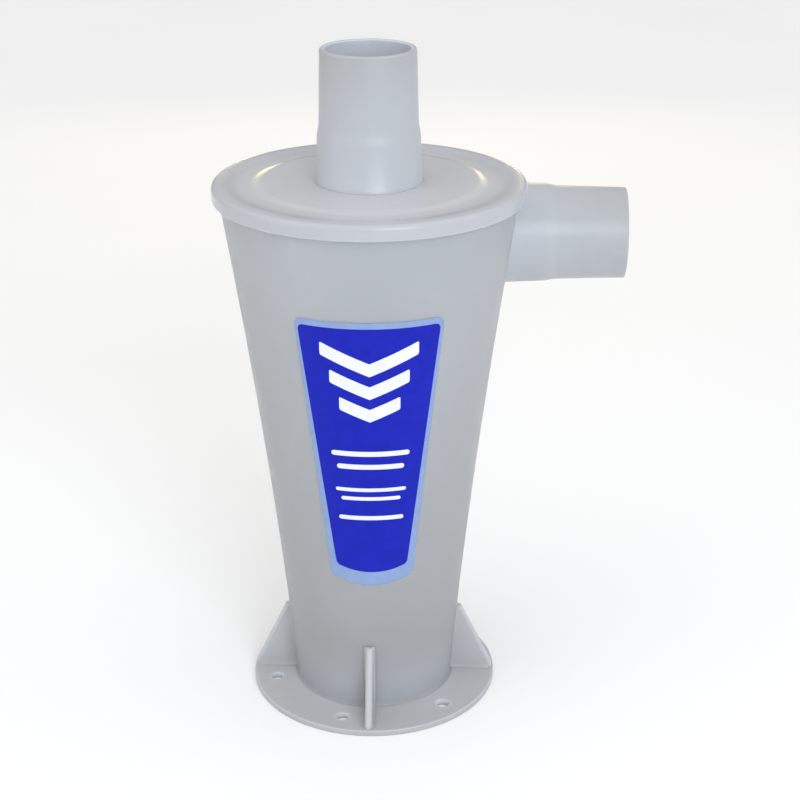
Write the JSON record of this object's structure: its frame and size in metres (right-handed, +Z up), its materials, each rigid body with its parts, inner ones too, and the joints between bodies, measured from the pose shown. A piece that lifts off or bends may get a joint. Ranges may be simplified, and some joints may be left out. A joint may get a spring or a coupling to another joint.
{
  "type": "cyclone dust separator",
  "caption": "Small upright cyclone separator in milky plastic: flared cone on a bolt-down flange, lid with an upright hose port, tangential hose port behind.",
  "frame": {"origin": "on the base plane, under the middle of the whole object's box", "axes": "+Z up along the cyclone's axis, +X the way the inlet port points, -Y the labelled front"},
  "size_m": [0.226, 0.1686, 0.3733],
  "materials": {
    "milky_body": "satin translucent polyethylene",
    "milky_lid": "glossy translucent polyethylene",
    "port_plastic": "satin white-blue translucent polyethylene",
    "printed_label": "glossy blue printed vinyl"
  },
  "bodies": {
    "root": {"cone_body": "milky_body", "top_lid": "milky_lid", "outlet_port": "port_plastic", "inlet_port": "port_plastic", "vortex_finder": "port_plastic", "base_flange": "milky_body", "gusset_front": "milky_body", "gusset_right": "milky_body", "gusset_rear": "milky_body", "gusset_left": "milky_body", "front_label": "printed_label"}
  },
  "joints": []
}
